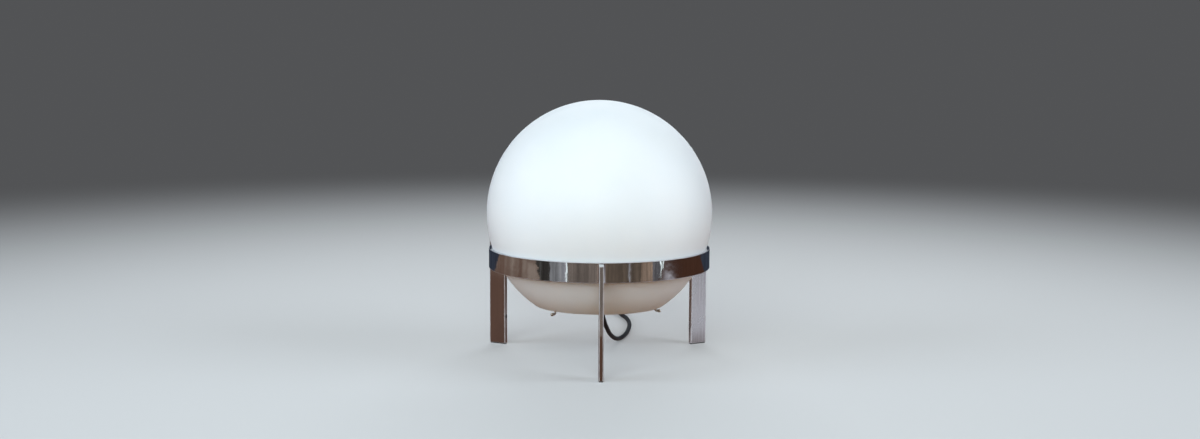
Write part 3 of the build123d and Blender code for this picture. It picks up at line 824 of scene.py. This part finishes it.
def studio():
    """Pale floor that sweeps up into a round wall, and the glowing table and walls that only the chrome sees,
    painted reflections.
    """
    turn = np.linspace(0, math.pi / 2, 24)
    sweep = np.stack([floor_radius + sweep_radius * np.sin(turn), sweep_radius * (1 - np.cos(turn))], axis=-1)
    outline = np.concatenate([[[0, 0]], sweep, [[sweep[-1, 0], wall_height]]])
    floor = turned("studio_floor", outline, closed=False, outward=False)
    floor.visible_glossy = False
    corners = [
        (-table_side, table_front, table_level), (table_side, table_front, table_level),
        (table_side, table_back, table_level), (-table_side, table_back, table_level),
    ]
    table = new_piece("reflection_table_sheet", np.array(corners), np.array([[0, 1, 2, 3]]), outward=False)
    wall = np.array([(room_radius, room_low), (room_radius, room_high)])
    walls = turned("reflection_room_walls", wall, closed=False, outward=False)
    for piece, material in ((floor, floor_paint()), (table, painted_table_reflection()), (walls, painted_room_reflection())):
        piece.data.materials.append(material)
    only_in_reflections(table)
    only_in_reflections(walls)


def soft_light(name, place, size, power, colour):
    """Square soft box that faces the lamp."""
    data = bpy.data.lights.new(name, "AREA")
    data.size, data.energy, data.color = size, power, colour
    light = bpy.data.objects.new(name, data)
    light.location = place
    light.rotation_euler = (lamp_middle - Vector(place)).to_track_quat("-Z", "Y").to_euler()
    light.visible_camera = False
    bpy.context.scene.collection.objects.link(light)


studio()
for name, box in soft_boxes.items():
    soft_light(name, *box)
world = bpy.data.worlds.new("studio_air")
world.use_nodes = True
world.node_tree.nodes["Background"].inputs["Color"].default_value = (*air_tone, 1)
world.node_tree.nodes["Background"].inputs["Strength"].default_value = air_strength
bpy.context.scene.world = world

# ---- Finishes of the frame's own pieces ----------------------------------------------------------

plain_nodes = [
    (pad_rubber, ["foot_pad_front", "foot_pad_left", "foot_pad_right"]),
    (zinc, ["holder_hub", "hub_nut", "threaded_nipple", "switch_screw"]),
    (yellow_brass, ["centre_contact", "terminal_screws", "switch_contacts"]),
    (ceramic, ["socket_insulator"]),
    (core_plastic, ["socket_wires"]),
    (black_glass, ["bulb_insulator"]),
    (case_skin, ["switch_base", "switch_cover"]),
    (wheel_skin, ["switch_wheel"]),
    (blade_plate, ["plug_blades"]),
]
for finish, nodes in plain_nodes:
    for node in nodes:
        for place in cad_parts[node].material_slots:
            place.material = finish.material


def place_piece(piece, finish, body, slot, *nodes):
    """Gives a new piece its finish, the body it rides on and the nodes that it stands for, which are hidden. The
    slot is not used.
    """
    piece.data.materials.append(finish.material)
    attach(piece, body)
    if nodes:
        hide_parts(*nodes)
    return piece


def rub_and_highlight_edges(piece, largest):
    """Gives the faces under an area, which are the eased edges, the rubbed satin finish, whose lighter tone
    paints a highlight along them.
    """
    piece.data.materials.append(rubbed_highlight_plate.material)
    areas = np.empty(len(piece.data.polygons))
    piece.data.polygons.foreach_get("area", areas)
    piece.data.polygons.foreach_set("material_index", (areas < largest).astype(np.int32))


# ---- Globe, ring and legs ------------------------------------------------------------------------


def ball_arc(radius, low, count):
    """Points (r, z) of a circle about the globe's centre, from a height up to its top on the axis."""
    start = math.asin((low - globe_centre) / radius)
    angle = np.linspace(start, math.pi / 2, count)
    return np.stack([radius * np.cos(angle), globe_centre + radius * np.sin(angle)], axis=-1)


def globe():
    """Blown ball with a ground rim: inner wall from its top down, the rim with its edges eased, and the
    outer wall up again."""
    rings = 110
    inner = ball_arc(globe_radius - globe_wall, rim_height, rings)[::-1]
    outer = ball_arc(globe_radius, rim_height, rings)
    rim = rounded([
        (*inner[-4], 0), (*inner[-1], rim_round), (*outer[0], rim_round), (*outer[3], 0),
    ], closed=False)
    outline = np.concatenate([inner[:-4], rim, outer[4:]])
    piece = turned("globe", outline, segments=200, closed=False)
    place_piece(piece, opal, "globe_unit", "opal_glass", "glass_globe")


def ring():
    """Flat bar rolled to a hoop, its edges eased, with the seat for the glass inside its top edge."""
    low, high = ring_low[2], ring_high[2]
    inner = ring_outer - ring_wall
    outline = rounded([
        (inner, low, ring_round), (ring_outer, low, ring_round), (ring_outer, high, ring_round),
        (inner + seat_width, high, ring_round / 3), (inner, high - seat_depth, ring_round / 3),
    ])
    piece = place_piece(turned("ring", outline, segments=288), rolled_chrome, "stand", "chrome", "ring_band")
    rub_and_highlight_edges(piece, ring_edge_area)


def leg_bar(place, degrees, finish):
    """Flat bar on edge: full outline between its ends, which are eased by a quarter round."""
    turn = np.linspace(0, math.pi / 2, 4)
    inset, rise = leg_ease * (1 - np.sin(turn)), leg_ease * (1 - np.cos(turn))
    held = (1 + holding) * leg_ease
    low, high = leg_low[2], leg_high[2]
    insets = np.concatenate([inset, [0, 0], inset[::-1]])
    heights = np.concatenate([low + rise, [low + held, high - held], high - rise[::-1]])
    middle = np.array([ring_outer + leg_width / 2, 0])
    outlines = [
        middle + bar_outline(leg_width - 2 * cut, leg_thickness - 2 * cut, leg_round - cut / 2) for cut in insets
    ]
    piece = stacked("leg_bar_" + place, outlines, heights, degrees)
    rub_and_highlight_edges(place_piece(piece, finish, "stand", "chrome", "leg_" + place), leg_edge_area)


def braze(place, degrees, side):
    """Fillet of braze in the corner between ring and leg: a hollow quarter round in plan, carried up."""
    half = side * leg_thickness / 2
    corner = math.sqrt(ring_outer**2 - half**2)
    turn = np.linspace(0, math.pi / 2, 7)
    hollow = np.stack([
        corner + braze_size * (1 - np.cos(turn)), half + side * braze_size * (1 - np.sin(turn)),
    ], axis=-1)
    inner, outer = corner - braze_tuck, corner + braze_size
    under = half - side * braze_tuck
    tucked = np.array([(inner, half + side * braze_size), (inner, under), (outer, under)])
    outline = np.concatenate([hollow[::-1], tucked[::-1]])
    low, high = ring_low[2] + ring_round, leg_high[2] - leg_ease
    name = "braze_" + place + ("_a" if side > 0 else "_b")
    place_piece(stacked(name, [outline, outline], [low, high], degrees), mirror, "stand", "chrome")


globe()
ring()
leg_finish = {"front": mirror, "left": mirror, "right": hazy_mirror}
for place, degrees in leg_angles.items():
    leg_bar(place, degrees, leg_finish[place])
    braze(place, degrees, 1)
    braze(place, degrees, -1)

# ---- Spring wires and holder ---------------------------------------------------------------------


def arm_wire(place, degrees):
    """Wire along its bent line in an upright plane, ending in a ball: past the ball's joint the section's
    radius is the ball's radius times the sine of the angle from its pole."""
    inside = globe_radius - globe_wall - wire_radius - arm_glass_gap
    heights = [rim_height + arm_hook_rise, rim_height + arm_notch_rise]
    reach = [math.sqrt(inside**2 - (globe_centre - height) ** 2) for height in heights]
    shank, tip = (hub_low[2] + hub_high[2]) / 2, rim_height - arm_tip_drop
    join = math.asin(wire_radius / ball_radius)
    line = rounded([
        (arm_root, shank, 0), (arm_knee, shank, wire_bend), (reach[0], heights[0], wire_bend),
        (reach[1], heights[1], wire_bend), (reach[1] + arm_notch_rise, tip, wire_bend),
        (arm_tip - ball_radius * math.cos(join), tip, 0),
    ], closed=False, steps=10)
    turn = np.linspace(join, math.pi, 14)[1:]
    ball = np.stack([arm_tip - ball_radius * np.cos(turn), np.full_like(turn, tip)], axis=-1)
    radii = np.concatenate([np.full(len(line), wire_radius), ball_radius * np.sin(turn)])
    flat = np.concatenate([line, ball])
    points = np.stack([flat[:, 0], np.zeros(len(flat)), flat[:, 1]], axis=-1)
    sides = 20
    rows = swung(carried(points, radii, (0, 1, 0), sides), degrees)
    piece = new_piece("arm_wire_" + place, rows, grid_quads(len(points), sides), [range(sides)])
    place_piece(piece, wire_plate, "arm_" + place, "spring_wire", "spring_arm_" + place)


def strain_relief():
    """Collar, and tapered rubber nose along the cord's way out, with grooves cut round it so that it
    bends: the radius falls evenly, less a groove in each of its pitches."""
    base = Vector((0, 0, collar_low))
    share = np.linspace(0, 1, 90)
    line = np.array(base)[None] + share[:, None] * np.array(cord_exit - base)[None]
    cut = notches(share * nose_grooves + 0.5, nose_groove_share) * (share > nose_first) * (share < nose_last)
    radii = nose_root + (nose_tip - nose_root) * share - nose_groove_depth * cut
    rounding = np.clip((1 - share) * (cord_exit - base).length / nose_round, 0, 1)
    radii = radii - nose_round * (1 - np.sqrt(1 - (1 - rounding) ** 2))
    nose = capped("strain_relief_nose", carried(line, radii, (0, 1, 0), 40))
    place_piece(nose, bushing_rubber, "globe_unit", "bushing_rubber", "cord_bushing")
    turn = np.linspace(-math.pi / 2, 0, 12)
    knuckle = np.stack([nose_root * np.cos(turn), collar_low + nose_root * np.sin(turn)], axis=-1)
    rim = rounded([
        (nose_root, collar_low, 0), (collar_radius, collar_low, collar_foot_round),
        (collar_radius, collar_high, collar_top_round), (0, collar_high, 0),
    ], closed=False)
    collar = turned("strain_relief_collar", np.concatenate([knuckle, rim]), segments=64, closed=False)
    place_piece(collar, bushing_rubber, "globe_unit", "bushing_rubber")


def holder_cap():
    """Bell-shaped lower cap with a moulded bead round its mouth."""
    low, high = cap_low[2], cap_high[2]
    outer = cap_high[0]
    inner = outer - cap_wall
    shoulder = (low + high) / 2
    outline = rounded([
        (cap_hole, low, cap_edge), (cap_foot, low, cap_bead), (cap_foot, low + cap_wall, cap_hollow),
        (outer, shoulder, cap_shoulder), (outer, high, cap_lip), (inner, high, cap_edge),
        (inner, shoulder + cap_wall / 2, cap_inner_shoulder), (cap_foot, low + 2 * cap_wall, cap_hollow),
        (cap_hole, low + 2 * cap_wall, cap_edge),
    ])
    place_piece(turned("holder_cap", outline, segments=96), resin, "globe_unit", "black_phenolic", "socket_cap")


def holder_shell():
    """Straight upper shell with three grooves for the grip near its foot."""
    low, high = shell_low[2], shell_high[2]
    outer, inner = shell_high[0], shell_high[0] - shell_wall
    lip_across, lip_down = shell_lip_inner
    height = np.linspace(low + shell_foot_bevel, high - shell_lip_bevel, 160)
    along = (height - low) / groove_pitch
    wave = np.clip(np.cos(2 * math.pi * (along - groove_middle)), 0, None) ** 2
    depth = groove_depth * wave * (along > groove_start) * (along < groove_end)
    outline = np.concatenate([
        [(inner, low), (outer - shell_foot_bevel, low)],
        np.stack([outer - depth, height], axis=-1),
        [(outer - shell_lip_bevel, high), (inner + lip_across, high), (inner, high - lip_down)],
    ])
    piece = turned("holder_shell", outline, segments=96)
    place_piece(piece, resin, "globe_unit", "black_phenolic", "socket_shell")


def wound(name, outline, depth, low, high, closed=True):
    """Surface of revolution with a rolled screw thread between two heights: each radius there goes in
    and out by depth with the cosine of the height in pitches less the angle in turns."""
    angle, radius, height = around(72), outline[:, 0, None], outline[:, 1, None]
    fade = np.clip(np.minimum(height - low, high - height) / (thread_pitch / 2), 0, 1)
    radius = radius + depth * fade * np.cos(2 * math.pi * height / thread_pitch - angle)
    return new_piece(name, spun(radius, height, angle), grid_quads(len(outline), len(angle), wrap_rows=closed))


def thread_sleeve():
    """Thin brass sleeve, pressed to a screw thread inside and out."""
    low, high = sleeve_low[2], sleeve_high[2]
    height = np.linspace(low, high, 90)
    outer = np.stack([np.full_like(height, sleeve_high[0] - sleeve_thread), height], axis=-1)
    inner = outer[::-1] - (sleeve_wall - sleeve_thread, 0)
    piece = wound("thread_sleeve", np.concatenate([outer, inner]), sleeve_thread / 2, low, high)
    place_piece(piece, yellow_brass, "globe_unit", "brass", "screw_shell")


def bulb():
    """Screw cap with its thread, domed solder tip and glass."""
    low, high, outer = bulb_cap_low[2], bulb_cap_high[2], bulb_cap_high[0]
    end = outer - 2 * cap_thread
    height = np.linspace(low, high - bulb_cap_edge, 90)
    wall = np.stack([np.full_like(height, outer - cap_thread), height], axis=-1)
    outline = np.concatenate([[(0, low), (end, low)], wall, [(end, high), (0, high)]])
    piece = wound("bulb_screw_cap", outline, cap_thread, low + thread_foot, high - thread_head, closed=False)
    place_piece(piece, cap_metal, "bulb", "cap_aluminium", "bulb_cap")
    low, high, outer = bulb_tip_low[2], bulb_tip_high[2], bulb_tip_high[0]
    turn = np.linspace(0, math.pi / 2, 10)
    dome = np.stack([outer * np.sin(turn), high - (high - low) * np.cos(turn)], axis=-1)
    piece = turned("bulb_solder_tip", np.concatenate([dome, [(0, high)]]), segments=48, closed=False)
    place_piece(piece, tip_metal, "bulb", "solder", "bulb_tip")
    outline = np.concatenate([bulb_wall_line(bulb_wall)[::-1], bulb_wall_line(0)])
    piece = turned("bulb_envelope", outline, segments=120, closed=False)
    place_piece(piece, bulb_white, "bulb", "bulb_glass", "bulb_glass")


def bulb_wall_line(inset):
    """The bulb's wall from its foot up, set in from the outer one: the neck, a flare that hollows in to
    the ball by an arc tangent to both, and the ball."""
    foot, top, ball = bulb_low[2], bulb_high[2], bulb_high[0]
    middle = neck_radius + flare_radius
    join = math.atan2(math.sqrt((flare_radius + ball) ** 2 - middle**2), middle)
    turn = np.linspace(math.pi, math.pi - join, 24)
    reach = flare_radius + inset
    flare = np.stack([middle + reach * np.cos(turn), foot + neck_length + reach * np.sin(turn)], axis=-1)
    turn = np.linspace(-join, math.pi / 2, 60)[1:]
    upper = np.stack([(ball - inset) * np.cos(turn), top - ball + (ball - inset) * np.sin(turn)], axis=-1)
    return np.concatenate([[(neck_radius - inset, foot)], flare, upper])


for place, degrees in arm_angles.items():
    arm_wire(place, degrees)
strain_relief()
holder_cap()
holder_shell()
thread_sleeve()
bulb()

# ---- Cord, with what sits on it ------------------------------------------------------------------


def switch_collar(name, end, outwards):
    """Moulded collar round the cord where it enters the case: a profile (radius, height) turned, and laid
    down so that its height runs along the cord."""
    outline = rounded([
        (cord_radius, -switch_collar_sunk, 0), (switch_collar_radius, -switch_collar_sunk, 0),
        (switch_collar_radius, switch_collar_length, switch_collar_round),
        (cord_radius, switch_collar_length, switch_mouth_round),
    ])
    angle = around(48)
    points = spun(outline[:, 0, None], outline[:, 1, None], angle)[..., [0, 2, 1]] * (1, outwards, 1)
    piece = new_piece(name, points + np.array(end), grid_quads(len(outline), len(angle), wrap_rows=True))
    return place_piece(piece, case_skin, "stand", "switch_plastic")


def strap(name, line, closed):
    """Flat strap along a line (x, z): a rounded rectangle whose thickness follows the line's own normal
    and whose width runs along Y."""
    tangent = unit(np.roll(line, -1, 0) - np.roll(line, 1, 0) if closed else np.gradient(line, axis=0))
    normal = np.stack([-tangent[:, 1], tangent[:, 0]], axis=-1)
    section = bar_outline(strap_width, strap_thickness, strap_round)
    flat = line[:, None] + section[None, :, 1, None] * normal[:, None]
    across = np.broadcast_to(section[:, 0] + strap_middle, flat.shape[:2])
    points = np.stack([flat[..., 0], across, flat[..., 1]], axis=-1)
    if closed:
        piece = new_piece(name, points, grid_quads(*points.shape[:2], wrap_rows=True))
    else:
        piece = capped(name, points)
    return place_piece(piece, woven_strap, "stand", "cord_plastic")


def coil_tie():
    """Strap drawn round the coil's near side, with its end laid over itself."""
    low = strap_thickness / 2
    top = 2 * cord_radius + coil_layer + low
    corners = [(x, low, strap_bend) for x in tie_foot] + [(x, top, strap_bend) for x in tie_top]
    bends = (0, tie_end_bend, 0)
    end = [(x, top + lift * strap_thickness, bend) for (x, lift), bend in zip(tie_end, bends)]
    return [
        strap("coil_tie_loop", rounded(corners, steps=10), True),
        strap("coil_tie_end", rounded(end, closed=False), False),
    ]


def plug(origin, heading):
    """Moulded plug. Its section is |x/a|^n + |y/b|^n = 1 at each distance: round (n = 2) and ribbed along
    the neck, then through a smooth shoulder to the squarer grip (n = 5), with a waist and a rounded
    front edge."""
    length = plug_neck + plug_grip
    along = np.concatenate([
        np.linspace(0, plug_neck, 80), np.linspace(plug_neck, length - plug_edge, 40)[1:],
        length - plug_edge * (1 - np.sin(np.linspace(0, math.pi / 2, 8)[1:])),
    ])
    ribbed = (along > plug_rib_margins[0]) * (along < plug_neck - plug_rib_margins[1])
    ribs = notches(along / plug_neck * plug_ribs + 0.5, plug_rib_share) * ribbed
    taper = np.interp(along, [0, plug_neck], [plug_mouth, plug_neck_radius]) - plug_rib_depth * ribs
    share = np.clip((along - plug_neck) / plug_shoulder, 0, 1)
    share = share * share * (3 - 2 * share)
    waist = np.clip((along - plug_neck - plug_shoulder) / plug_waist_length, 0, 1)
    edge = np.clip(1 - (length - along) / plug_edge, 0, 1)
    pinch = plug_waist * np.sin(math.pi * waist) + plug_edge * (1 - np.sqrt(1 - edge**2))
    half_width = (taper + (plug_half_width - plug_neck_radius) * share - pinch)[:, None]
    half_height = (taper + (origin.z - plug_neck_radius) * share - pinch)[:, None]
    power = (2 / (2 + 3 * share))[:, None]
    cosine, sine = np.cos(around(96)), np.sin(around(96))
    x = half_width * np.sign(cosine) * np.abs(cosine) ** power
    y = half_height * np.sign(sine) * np.abs(sine) ** power
    side, forward, up = np.array((heading.y, -heading.x, 0)), np.array(heading), np.array((0, 0, 1))
    points = np.array(origin) + x[..., None] * side + along[:, None, None] * forward + y[..., None] * up
    return place_piece(capped("plug_moulding", points), plug_skin, "stand", "plug_plastic", "plug_body")


def cord_tube(stretch, route):
    """Tube along the smooth line of a stretch of cord, and the line's points."""
    line = smooth_line(stretch + "_line", route)
    piece = capped("cord_" + stretch + "_tube", carried(line, cord_radius, (0, 0, 1), 24))
    piece.data.materials.append(cord_skin.material)
    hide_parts("cord_" + stretch)
    return piece, line.tolist()


def cord_pieces():
    """The two stretches of cord, from the globe to the switch and from there to the plug."""
    lead, lead_line = cord_tube("lead", lead_route)
    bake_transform(lead)
    collars = [
        switch_collar("switch_collar_front", switch_front, -1),
        switch_collar("switch_collar_back", switch_back, 1),
    ]
    route, heading = coil_route()
    coil, coil_line = cord_tube("coil", route)
    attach(coil, "stand")
    plug(route[-1], heading)
    coil_tie()


cord_pieces()
